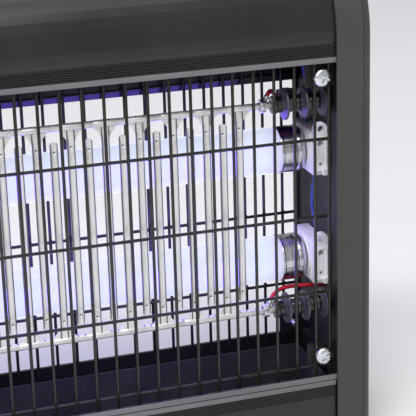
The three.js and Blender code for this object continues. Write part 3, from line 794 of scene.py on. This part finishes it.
def makeTrayFront():
    # a ribbed section swept along X, joined to a grip whose section shrinks towards its two ends
    low, high = boxOf("tray_front")
    face, top, band = -boxOf("top_profile")[1][1], trayLook["top"], caseLook["lipBand"]
    section = np.vstack([
        [(face, top), (face, top - band)],
        ribPoints(face, top - band, -1),
        quarter((-28, 14), (4.7, 9.4), 2, 2.56, 8),
        [(trayLook["back"], low[2]), (trayLook["back"], top)],
    ])
    half, root = trayLook["gripHalf"], trayLook["gripRoot"]
    grip = softened([(root, 16.4), (-34.4, 14.2), (-35.2, 13.2), (-34.9, 11.9), (root, 11.6)], 0.7, 4)
    rings = []
    xs, sizes = (-half, 0.8 - half, 2.4 - half, half - 2.4, half - 0.8, half), (0.25, 0.75, 1, 1, 0.75, 0.25)
    for x, size in zip(xs, sizes):
        rings.append(np.column_stack([np.full(len(grip), x), root + (grip[:, 0] - root) * size, grip[:, 1]]))
    plate = alongX(softened(section, caseLook["edgeRound"], 2), np.linspace(low[0], high[0], 5))
    piece = makePiece("tray_front", {"profile": [carved(plate, joins=[skin(np.array(rings))])]}, 28)
    paintLipSheen(piece, [(face, top - band, band)])


def cheekOutline(inset, half, top, steps=14):
    # straight walls, quarter circles at the foot, quarter ellipses up to the flat crown, all `inset` inwards
    corner, crown = max(caseLook["footRound"] - inset, 0.8), caseLook["halfCrown"]
    wide, high = half - inset, top - inset
    fore, aft = caseLook["frontShoulder"], caseLook["rearShoulder"]
    return np.vstack([
        quarter((-wide + corner, inset + corner), (corner, corner), 2, 3, 6),
        quarter((wide - corner, inset + corner), (corner, corner), 3, 4, 6),
        quarter((crown, aft), (wide - crown, high - aft), 0, 1, steps),
        quarter((-crown, fore), (wide - crown, high - fore), 1, 2, steps),
    ])


def cheekRings(inner, outer, half, top):
    # (x, inset) stations: inside face and wall, rim, outside wall, then a quarter circle onto the outer face
    wall, bend = caseLook["cheekWall"], caseLook["cheekRound"]
    angle = np.linspace(0, np.pi / 2, 9)
    stations = [(outer - 2.5, 7.0), (outer - 2.5, wall + 2.6), (outer - 3.6, wall + 0.7), (outer - 5, wall)]
    stations += [(inner + 0.4, wall), (inner, wall - 0.4), (inner, 0.35), (inner + 0.35, 0.0)]
    stations += [(outer - bend - 0.7, 0.0), (outer - bend - 0.5, 0.35), (outer - bend - 0.2, 0.35)]
    stations += [(outer - bend + bend * math.sin(a), bend * (1 - math.cos(a))) for a in angle]
    stations += [(outer, bend + 2.0)]
    rings = [np.insert(cheekOutline(inset, half, top), 0, x, axis=1) for x, inset in stations]
    return skin(np.array(rings))


def makeCheek(side):
    # the shell with a screw's boss, bore and counterbore; the left one also has the switch's opening
    low, high = boxOf("right_cheek")
    inner, outer = low[0], high[0]
    seat = (0, 0, middleOf("right_cheek_screw")[2])
    start, r = caseLook["bossStart"], caseLook["bossRadius"]
    joins = [turned([(start, r - 0.8), (start + 0.5, r), (outer - 1, r)], 32, seat)]
    cuts = [
        turned([(inner, 2.3), (outer + 1, 2.3)], 32, seat),
        turned([(outer - 3.2, 4.7), (outer - 0.4, 4.7), (outer + 0.2, 5.3)], 40, seat),
    ]
    if side == "left":
        z = middleOf("switch_housing")[2]
        joins.append(block((outer - 7, -13, z - 16), (outer - 2, 13, z + 16), 1.5, 0.6))
        cuts.append(block((outer - 3.8, -10.5, z - 13.5), (outer + 2, 10.5, z + 13.5), 2.0, 0.3))
        cuts.append(block((outer - 10, -6.8, z - 9.8), (outer + 2, 6.8, z + 9.8), 0.6, 0.2))
    part = carved(cheekRings(inner, outer, high[1], high[2]), joins, cuts)
    makePiece(side + "_cheek", {"cheek": [moved(part, basis=endBasis[side])]}, 30)


makeTopProfile()
makeBase()
makeTrayFront()
for side in endBasis:
    makeCheek(side)
print("case made")


# Lamps, their caps and their holders
lampLook = {
    "glassSides": 56,
    "glassWall": 1.6,
    "neck": 0.8,
    "shoulder": 6.3,
    "capSides": 48,
    "capFace": 6.0,
    "pinOffset": 6.35,
    "pinRadius": 1.15,
}
holderLook = {
    "tall": 12.25,  # half the height
    "deep": 17.0,  # half the depth
    "frameStand": 1.0,
    "leadX": 224.8,
    "earZ": 14.0,
    "wireHoles": ((6.2, 1.7), (-5.6, 1.0)),  # height, radius
}


def makeTubes():
    # a glass wall turned about X, with a rounded shoulder down to the neck that the cap sits on
    for level in levels:
        low, high = boxOf(level + "_lamp_tube")
        z, r = (low[2] + high[2]) / 2, (high[2] - low[2]) / 2
        end, neck = high[0], r - lampLook["neck"]
        bend = end - lampLook["shoulder"]
        half = [(0, r), (bend - 3, r), (bend, r - 0.25), (bend + 1.2, neck), (end, neck)]
        half = softened(half, 1.2, 4, False)
        bore = r - lampLook["glassWall"]
        wall = np.vstack([half[::-1] * (-1, 1), half[1:], [(end, bore), (-end, bore)]])
        glass = turned(wall, lampLook["glassSides"], (0, 0, z), loop=True)
        makePiece(level + "_lamp_tube", {"lamp": [glass]}, 40)


def capParts():
    # made for the right end about Z = 0: a drawn shell with a rolled mouth, a crimp groove and a pressed face
    low, high = boxOf("right_upper_lamp_cap")
    start, face, r = low[0], high[0] - lampLook["capFace"], (high[2] - low[2]) / 2
    side, tip = r - 0.12, high[0]
    shell = softened([
        (start, r - 0.7), (start + 0.1, r), (start + 1.0, r + 0.05), (start + 1.5, side), (start + 8.8, side),
        (start + 9.2, r - 0.5), (start + 9.8, r - 0.5), (start + 10.2, side), (face - 2.6, side),
        (face - 0.9, r - 1.2), (face - 0.35, r - 2.6), (face - 0.3, 8.6), (face - 1.5, 8.6),
        (face - 1.5, r - 3.4), (face - 3, r - 0.7),
    ], 0.35, 3)
    disc = turned([(face - 1.4, 8.5), (face - 0.2, 8.5), (face, 8.1)], 40)
    p, pins = lampLook["pinRadius"], []
    pin = softened([(face - 1, p), (tip - 0.8, p), (tip - 0.15, p * 0.75), (tip, p * 0.3)], 0.3, 3, False)
    for z in (-lampLook["pinOffset"], lampLook["pinOffset"]):
        pins.append(turned(pin, 20, (0, 0, z)))
        pins.append(turned([(face - 0.3, p + 0.7), (face + 0.25, p + 0.45)], 20, (0, 0, z)))
    return {"cap": [turned(shell, lampLook["capSides"], loop=True)], "black": [disc], "zinc": pins}


def holderPart():
    # made for the right end about Z = 0: a block with a collar, a raised frame, a drilled ear and a foot, two
    # wire holes, a round cavity for the rotor, and a slot from it to the rear for the lamp's pins
    low, high = boxOf("right_upper_lampholder")
    face, back, tall, deep = low[0], high[0], holderLook["tall"], holderLook["deep"]
    front = -deep - holderLook["frameStand"]
    x, earZ = holderLook["leadX"], holderLook["earZ"]
    body = block((face + 1.1, -deep, -tall), (back, deep, tall), 1.6, 0.7, 0, 4)
    ear = turned([(14, 3.6), (14.5, 4.2), (16.7, 4.2), (17.2, 3.7)], 32)
    joins = [
        turned([(face, 11.3), (face + 0.25, 11.8), (face + 0.8, 12.0), (face + 2.4, 12.0)], 48),
        block((face + 0.6, -13.4, -11.2), (face + 3, 13.4, 11.2), 3.0, 0.5),
        block((face + 1.9, front, -10.2), (back - 1.0, -deep + 1, 10.2), 1.2, 0.35, 1),
        moved(ear, (x, 0, earZ), towardsFront),
        block((back - 4.2, -deep - 1.4, -tall), (back, -deep + 2, -tall + 4.4), 0.8, 0.4, 1),
    ]
    cuts = [
        block((face + 3.2, -deep - 4, -8.6), (back - 2.2, -deep - 0.15, 8.6), 0.6, 0.1, 1),
        moved(turned([(10, 1.9), (20, 1.9)], 20), (x, 0, earZ + 0.4), towardsFront),
    ]
    for z, r in holderLook["wireHoles"]:
        cuts.append(moved(turned([(deep - 5, r), (deep + 4, r)], 20), (x - 0.2, 0, z), towardsFront))
    cuts += [
        block((face + 3.2, -deep - 4, -11.6), (face + 5.6, -deep + 0.8, -9.4), 0.3, 0.1, 1),
        turned([(face - 1, 9.5), (226.3, 9.5)], 48),
        block((face - 1, 0, -1.7), (225.3, deep + 1, 1.7), 0.3, 0.1, 1),
    ]
    return carved(body, joins, cuts)


def rotorPart():
    # a disc with rounded edges, a slot for the lamp's pins right across it and a ring pressed into its face
    low, high = boxOf("right_upper_rotor")
    r, start, end = (high[2] - low[2]) / 2, low[0], high[0]
    disc = turned(softened([(start, r - 0.9), (start, r), (end, r), (end, r - 0.9)], 0.4, 4, False), 40)
    slot = block((start - 1, -1.6, -r - 1), (end - 1, 1.6, r + 1), 0.2, 0.1, 2)
    ring = [(start - 0.5, 7.4), (start + 0.35, 7.4), (start + 0.35, 6.6), (start - 0.5, 6.6)]
    return carved(disc, cuts=[slot, turned(ring, 40, loop=True)])


def makeLampEnds():
    cap, holder, rotor = capParts(), holderPart(), rotorPart()
    for side, basis in endBasis.items():
        for level in levels:
            label, place = side + "_" + level, (0, 0, middleOf(level + "_lamp_tube")[2])
            makePiece(label + "_lamp_cap", placed(cap, place, basis))
            makePiece(label + "_lampholder", {"white": [moved(holder, place, basis)]}, 28)
            makePiece(label + "_rotor", {"white": [moved(rotor, place, basis)]}, 28)


makeTubes()
makeLampEnds()
print("lamps and holders made")


# Electrode combs
def stripPart(drop):
    # across u from -1 to 1 and down s: x is u times the half width, and y is the sheet's face with two ribs
    # standing forward and its round pressings sunk back
    pressings = list(combLook["pressings"]) + [(drop - at, r, d) for at, r, d in combLook["endPressings"]]
    near, bend = np.linspace(-1.5, 1.5, 9), combLook["tipRound"]
    s = [np.linspace(0, 9, 10), np.linspace(9, drop - bend, 14)]
    s.append(drop - bend + bend * np.sin(np.linspace(0, np.pi / 2, 5)))
    s = np.unique(np.round(np.concatenate(s + [at + near for at, _, _ in pressings]), 3))[:, None]
    half, head = combLook["width"] / 2, combLook["head"] / 2
    taper = np.clip((s - combLook["taperStart"]) / (combLook["taperEnd"] - combLook["taperStart"]), 0, 1)
    tip = np.clip((s - drop + bend) / bend, 0, 1)
    wide = (head + (half - head) * taper ** 0.85) * np.sqrt(1 - 0.8 * tip ** 2)
    u = np.array([-1, -0.88, -0.74, -0.6, -0.44, -0.24, 0, 0.24, 0.44, 0.6, 0.74, 0.88, 1])[None, :]
    x = u * wide
    ribs = combLook["ribHeight"] * np.exp(-(((abs(u) - combLook["ribPlace"]) / combLook["ribWidth"]) ** 2))
    fade = np.clip((s - 2.5) / 4, 0, 1) * np.clip((drop - s) / 2.5, 0, 1)
    relief = -ribs * fade
    for at, r, depth in pressings:
        relief = relief + depth * np.exp(-(((x ** 2 + (s - at) ** 2) / r ** 2) ** 2))
    front = np.stack([x, relief - combLook["sheet"] / 2, -s + 0 * x], -1)
    rear = np.stack([x, relief + combLook["sheet"] / 2, -s + 0 * x], -1)[:, ::-1]
    return skin(np.concatenate([front, rear], 1))


def makeCombs():
    # strips two pitches apart hang from a rail and wrap round it; the lower comb is the upper one turned over
    railAt = {level: middleOf("right_" + level + "_insulator")[2] for level in levels}
    y = middleOf("right_upper_insulator")[1]
    low, high = boxOf("upper_electrode_comb")
    r, w = combLook["railRadius"], combLook["head"] / 2
    drop = railAt["upper"] - railAt["lower"] - r - combLook["endGap"]
    places = [(i * combLook["pitch"] - combLook["reach"], 0, 0) for i in range(1, combLook["count"], 2)]
    edge = softened([(-w, r - 0.3), (-w, r + 0.12), (w, r + 0.12), (w, r - 0.3)], 0.1, 3)
    wraps = repeated(turned(edge, 20, loop=True), places)
    upper = [repeated(stripPart(drop), places), roundEnded(low[0], high[0], r, 20), wraps]
    holes = [combLook["pressings"][0][0], drop - combLook["endPressings"][0][0]]
    for level, up in (("upper", 1.0), ("lower", -1.0)):
        parts = [moved(part, (0, y, railAt[level]), np.diag((up, 1.0, up))) for part in upper]
        piece = makePiece(level + "_electrode_comb", {"strip": parts}, 40)
        darkenHoles(piece, [railAt[level] - up * at for at in holes])


def darkenHoles(piece, heights):
    # faces nearer than `holeShadow` to a strip's middle line at a hole's height take the black finish, a
    # painted shadow of that hole's inside
    mesh, pitch = piece.data, combLook["pitch"]
    mesh.materials.append(finishes["black"][0])
    centres = np.empty(len(mesh.polygons) * 3)
    mesh.polygons.foreach_get("center", centres)
    x, _, z = centres.reshape(-1, 3).T / mm
    aside = (x + combLook["reach"] + pitch / 2) % pitch - pitch / 2
    apart = np.min([np.hypot(aside, z - height) for height in heights], axis=0)
    mesh.polygons.foreach_set("material_index", (apart < combLook["holeShadow"]).astype(int))


insulatorLook = {"skirts": (204.0, 214.95, 225.9), "rings": (3.6, 5.4, 7.2)}  # rings: mm beyond a skirt


def insulatorPart():
    # made for the right end about the rail: a collar, a core with shallow rings and three thin skirts
    low, high = boxOf("right_upper_insulator")
    start, end, skirt = low[0], high[0], (high[1] - low[1]) / 2
    blind = boxOf("upper_electrode_comb")[1][0] + 0.8
    profile = [(start, 2.3), (start, 4.6), (start + 0.4, 5.0), (start + 2.2, 5.0), (start + 2.6, 4.5)]
    for x in insulatorLook["skirts"][:-1]:
        for ring in insulatorLook["rings"]:
            profile += [(x + ring - 0.4, 4.5), (x + ring, 4.9), (x + ring + 0.4, 4.5)]
    profile += [(end, 4.5), (end, 0.6), (blind, 0.6), (blind, 2.3)]
    reach = [-2.2, -1.2, -0.6, -0.35, 0.35, 0.6, 1.2, 2.2]
    edge = np.stack([reach, [4.2, 5.3, 8.6, skirt, skirt, 8.6, 5.3, 4.2]], 1)
    skirts = [turned(softened(edge + (x, 0), 0.3, 2), 40, loop=True) for x in insulatorLook["skirts"]]
    return {"insulator": [turned(softened(profile, 0.3, 2), 40, loop=True)], "skirt": skirts}


def makeInsulators():
    groups = insulatorPart()
    for side, basis in endBasis.items():
        for level in levels:
            node = side + "_" + level + "_insulator"
            makePiece(node, placed(groups, middleOf(node) * (0, 1, 1), basis), 35)


makeCombs()
makeInsulators()
print("electrodes made")


# Leads and their terminals
leadLook = {
    "highVoltage": 1.2,  # radius
    "lamp": 0.9,
    "sides": 14,
    "gap": 0.3,
    "terminalX": 191.6,
    "barrel": (0.55, 0.3, 0.78),  # the way it points
}
barrelWay = np.array(leadLook["barrel"]) / np.linalg.norm(leadLook["barrel"])


def railPlace(level):
    return middleOf("right_" + level + "_insulator") * (0, 1, 1) + (leadLook["terminalX"], 0, 0)


def makeTerminals():
    # a ring round the rail, and a barrel whose radius falls where it is crimped
    ring = turned(softened([(-1.6, 2.2), (-1.6, 3.7), (1.6, 3.7), (1.6, 2.2)], 0.3, 3), 28, loop=True)
    distance = np.array([2.8, 3.2, 3.8, 4.3, 4.8, 5.4, 6.0])
    barrel = tube(barrelWay * distance[:, None], np.array([1.1, 1.5, 1.6, 1.25, 1.25, 1.6, 1.5]), 18)
    for level in levels:
        makePiece(level + "_terminal", {"zinc": [moved(part, railPlace(level)) for part in (ring, barrel)]})


def makeLead(node, points, radius, finish, basis=None):
    part = tube(throughPoints(points, 7), leadLook[radius], leadLook["sides"])
    makePiece(node, {finish: [moved(part, basis=basis)]}, 60)


def makeLeads():
    # each route runs from one connection to the next, clear of the guards, the skirts and the holders
    gap = leadLook["gap"]
    start = {level: [railPlace(level) + barrelWay * reach for reach in (6 + gap, 7.2)] for level in levels}
    makeLead("upper_high_voltage_lead", start["upper"] + [
        (199, -9, 203.5), (203.5, -4.6, 199.6), (209, -3.6, 197), (217, -3.6, 196.8), (230.6, -4.5, 200),
        (237, -6, 204), (238, -8, 212), (238, -10, 224), (236.5, -10, 232), (230.6, -10, 236), (218, -9, 239),
        (190, -7, 242), (165, -6, 243), (148.5, -6, 243),
    ], "highVoltage", "red")
    makeLead("lower_high_voltage_lead", start["lower"] + [
        (200, -10.5, 87), (207, -8, 87.8), (218, -7.5, 87.2), (230.6, -8, 86.5), (236.5, -10, 89),
        (238, -14, 98), (238, -16, 130), (238, -16, 170), (238, -16, 215), (236.5, -16, 231),
        (230.6, -16, 236), (218, -15, 238), (190, -13, 239), (165, -12, 239), (148.5, -12, 239),
    ], "highVoltage", "red")
    upper, lower = (middleOf(level + "_lamp_tube")[2] for level in levels)
    x, tall = holderLook["leadX"], holderLook["tall"]
    feed = [
        (x, 6, upper + tall + gap), (x, 6, 184), (226, 8, 200), (223.5, 8.5, 216), (222, 8, 227.4),
        (217, 11, 234), (200, 22, 234.5), (160, 25, 234.5), (110, 24, 235), (85, 14, 238), (74, 8, 240),
        (68 + gap, 8, 240),
    ]
    link = [
        (x, -9, lower + tall + gap), (x, -9, 119), (222.6, -12, 127), (221.8, -11, 137), (223.5, -8, 147),
        (x, -7, 151), (x, -7, upper - tall - gap),
    ]
    for side, basis in endBasis.items():
        makeLead(side + "_lamp_feed_lead", feed, "lamp", "blue", basis)
        makeLead(side + "_lamp_link_lead", link, "lamp", "blue", basis)


makeTerminals()
makeLeads()
print("leads made")


# Screws
screwLook = {
    "slot": 0.95,
    "slotDepth": 0.75,
    "cross": 1.15,
    "crossReach": 2.7,
    "crossDepth": 1.7,
    "threadPitch": 0.9,
    "threadDepth": 0.32,
    "guard": (5.2, 2.9, 1.95, 10),  # head radius and height, shank radius and length
    "cheek": (4.2, 2.6, 1.9, 15.6),
    "firstTurn": 4.0,  # degrees
    "nextTurn": 67.0,
}


def screwPart(head, tall, shank, length):
    # along X with the head's seat at 0: a domed head cut by a slot and a cross, and a shank whose radius
    # falls and rises once for every turn and every pitch
    angle = np.linspace(0, np.pi / 2, 8)[:-1]
    dome = [(tall * 0.34 + tall * 0.66 * math.sin(a), head * math.cos(a) ** 0.75) for a in angle]
    body = turned([(0, head * 0.6), (0, head - 0.25), (0.25, head), *dome, (tall, head * 0.12)], 40)
    reach = screwLook["crossReach"]
    half = screwLook["slot"] / 2
    slot = block((tall - screwLook["slotDepth"], 1.7 - head, -half), (tall + 2, head - 1.7, half), 0.1, 0.05)
    bars = [
        block((tall - screwLook["crossDepth"], -y, -z), (tall + 2, y, z), 0.1, 0.05)
        for y, z in ((reach, screwLook["cross"] / 2), (screwLook["cross"] / 2, reach))
    ]
    topped = carved(body, cuts=[slot, *bars])
    x, around = np.linspace(-length, 0.2, int(length / 0.15)), np.linspace(0, 2 * np.pi, 16, endpoint=False)
    phase = (x[:, None] / screwLook["threadPitch"] - around / (2 * np.pi)) % 1
    radius = shank - screwLook["threadDepth"] * abs(2 * phase - 1)
    radius = radius * np.clip((x + length) / 1.5 + 0.45, 0, 1)[:, None]
    rings = np.stack([x[:, None] + 0 * around, radius * np.cos(around), radius * np.sin(around)], -1)
    return [topped, skin(rings)]


def spun(parts, degrees, basis, place):
    # turns the parts about their own X, then aims and places them
    c, s = math.cos(math.radians(degrees)), math.sin(math.radians(degrees))
    about = np.array([(1, 0, 0), (0, c, -s), (0, s, c)])
    return [moved(part, place, basis @ about) for part in parts]


def makeScrews():
    guardScrew, cheekScrew = screwPart(*screwLook["guard"]), screwPart(*screwLook["cheek"])
    guardHead, cheekHead = screwLook["guard"][1], screwLook["cheek"][1]
    turn = screwLook["firstTurn"]
    for side, basis in endBasis.items():
        for face, aim in (("front", towardsFront), ("rear", towardsRear)):
            for level in levels:
                node = "_".join([side, face, level, "guard_screw"])
                low, high = boxOf(node)
                seat = (low + high) / 2
                seat[1] = low[1] + guardHead if face == "front" else high[1] - guardHead
                makePiece(node, {"zinc": spun(guardScrew, turn, aim, seat)})
                turn += screwLook["nextTurn"]
        node = side + "_cheek_screw"
        low, high = boxOf(node)
        seat = (low + high) / 2
        seat[0] = basis[0, 0] * (max(abs(low[0]), abs(high[0])) - cheekHead)
        makePiece(node, {"zinc": spun(cheekScrew, turn, basis, seat)})
        turn += screwLook["nextTurn"]


makeScrews()
print("screws made")


# Switch, gland and hanger bails
switchLook = {"rock": 7.0, "pivotX": -242.7}  # degrees, mm


def makeSwitch():
    # a bezel and a body hollowed by a well; the rocker is a dished section carried along Y and leant over
    low, high = boxOf("switch_housing")
    front, z = low[0], (low[2] + high[2]) / 2
    bezel = block((front, -8, z - 11.5), (front + 1.4, 8, z + 11.5), 1.6, 0.45)
    body = block((front + 1.2, -6.5, z - 9.5), (high[0], 6.5, z + 9.5), 0.5, 0.3)
    well = block((front - 1, -5.2, z - 8.3), (front + 5.9, 5.2, z + 8.3), 0.5, 0.2)
    makePiece("switch_housing", {"black": [carved(bezel, [body], [well])]}, 28)
    key = softened([
        (-7.6, 0.6), (0, -2.2), (7.6, 0.6), (7.6, 2.2), (5.5, 1.95), (0, 1.5), (-5.5, 1.95), (-7.6, 2.2),
    ], 0.5, 4)
    rings = []
    for y, less in ((-4.8, 0.35), (-4.65, 0.1), (-4.4, 0.0), (4.4, 0.0), (4.65, 0.1), (4.8, 0.35)):
        size = 1 - less / 4
        rings.append(np.column_stack([-key[:, 1] * size, np.full(len(key), y), key[:, 0] * size]))
    rock = math.radians(-switchLook["rock"])
    c, s = math.cos(rock), math.sin(rock)
    lean = np.array([(c, 0, s), (0, 1, 0), (-s, 0, c)])
    rocker = moved(skin(np.array(rings)), (switchLook["pivotX"], 0, z), lean)
    makePiece("switch_rocker", {"black": [rocker]}, 28)


glandLook = {"sides": 60, "ribs": 12, "ribDepth": 0.18}


def makeGland():
    # z up and the angle round: the nut's radius swells into six flats, the dome above it is ribbed, the foot
    # is plain; a station is (height, radius, how hexagonal, how ribbed), and the last ones go down the bore
    stations = np.array([
        (0.0, 8.0, 0, 0), (0.3, 8.4, 0, 0), (1.6, 8.4, 0, 0), (1.7, 7.3, 1, 0), (5.6, 7.3, 1, 0),
        (5.9, 7.0, 0.6, 0), (6.3, 6.6, 0, 0), (6.6, 6.6, 0, 1), (10.0, 6.0, 0, 1), (11.0, 5.6, 0, 0.4),
        (12.6, 5.0, 0, 0), (13.6, 4.5, 0, 0), (14.0, 4.1, 0, 0), (14.0, 3.7, 0, 0), (13.4, 3.5, 0, 0),
        (1.0, 3.5, 0, 0),
    ])
    angle = np.linspace(0, 2 * np.pi, glandLook["sides"], endpoint=False)
    flat = 1 / np.cos((angle + np.pi / 6) % (np.pi / 3) - np.pi / 6)
    height, radius, hexed, ribbed = stations.T[:, :, None]
    ribs = ribbed * glandLook["ribDepth"] * np.cos(glandLook["ribs"] * angle)
    radius = radius * (1 + hexed * (flat - 1)) + ribs
    rings = np.stack([radius * np.cos(angle), radius * np.sin(angle), height + 0 * angle], -1)
    x, y, _ = middleOf("cable_gland")
    makePiece("cable_gland", {"black": [moved(skin(rings), (x, y, boxOf("cable_gland")[0][2]))]}, 35)


hangerLook = {
    "wire": 1.5,  # radius
    "leg": 21.2,
    "reach": 14.0,
    "bend": 4.0,
    "plate": 22.0,  # half the length
    "lug": 17.5,  # from the middle to each
    "lugRadius": 3.5,
    "rivet": 9.0,
}


def makeHangers():
    # a saddle plate with two drilled lugs and two rivets, and a wire bail whose ends turn in the lugs
    r, leg, reach = hangerLook["wire"], hangerLook["leg"], hangerLook["reach"]
    path = [(-14.8, 0, 0), (-leg, 0, 0), (-leg, reach, 0), (leg, reach, 0), (leg, 0, 0), (14.8, 0, 0)]
    bail = tube(softened(path, hangerLook["bend"], 7, closed=False), r, 16)
    half, lug = hangerLook["plate"], hangerLook["lugRadius"]
    for side in endBasis:
        node = side + "_hanger_saddle"
        low, high = boxOf(node)
        x, base, axis = (low[0] + high[0]) / 2, low[2], high[2] - lug
        plate = block((x - half, -5, base), (x + half, 5, base + 1.5), 2.0, 0.3, 2)
        section = np.vstack([[(-lug, base + 1), (lug, base + 1)], quarter((0, axis), (lug, lug), 0, 2, 13)])
        lugs, rivets = [], []
        for end in (-1, 1):
            at = x + end * hangerLook["lug"]
            lugs.append(alongX(section, (at - 1.5, at + 1.5)))
            rivet = turned([(base + 1.2, 2.2), (base + 2.0, 2.0), (base + 2.4, 1.2)], 20)
            rivets.append(moved(rivet, (x + end * hangerLook["rivet"], 0, 0), towardsZ))
        hole = turned([(x - 30, 2), (x + 30, 2)], 24, (0, 0, axis))
        makePiece(node, {"zinc": [carved(plate, lugs, [hole]), *rivets]}, 30)
        makePiece(side + "_hanger_bail", {"bail": [moved(bail, (x, 0, axis))]}, 50)


makeSwitch()
makeGland()
makeHangers()
print("fittings made")
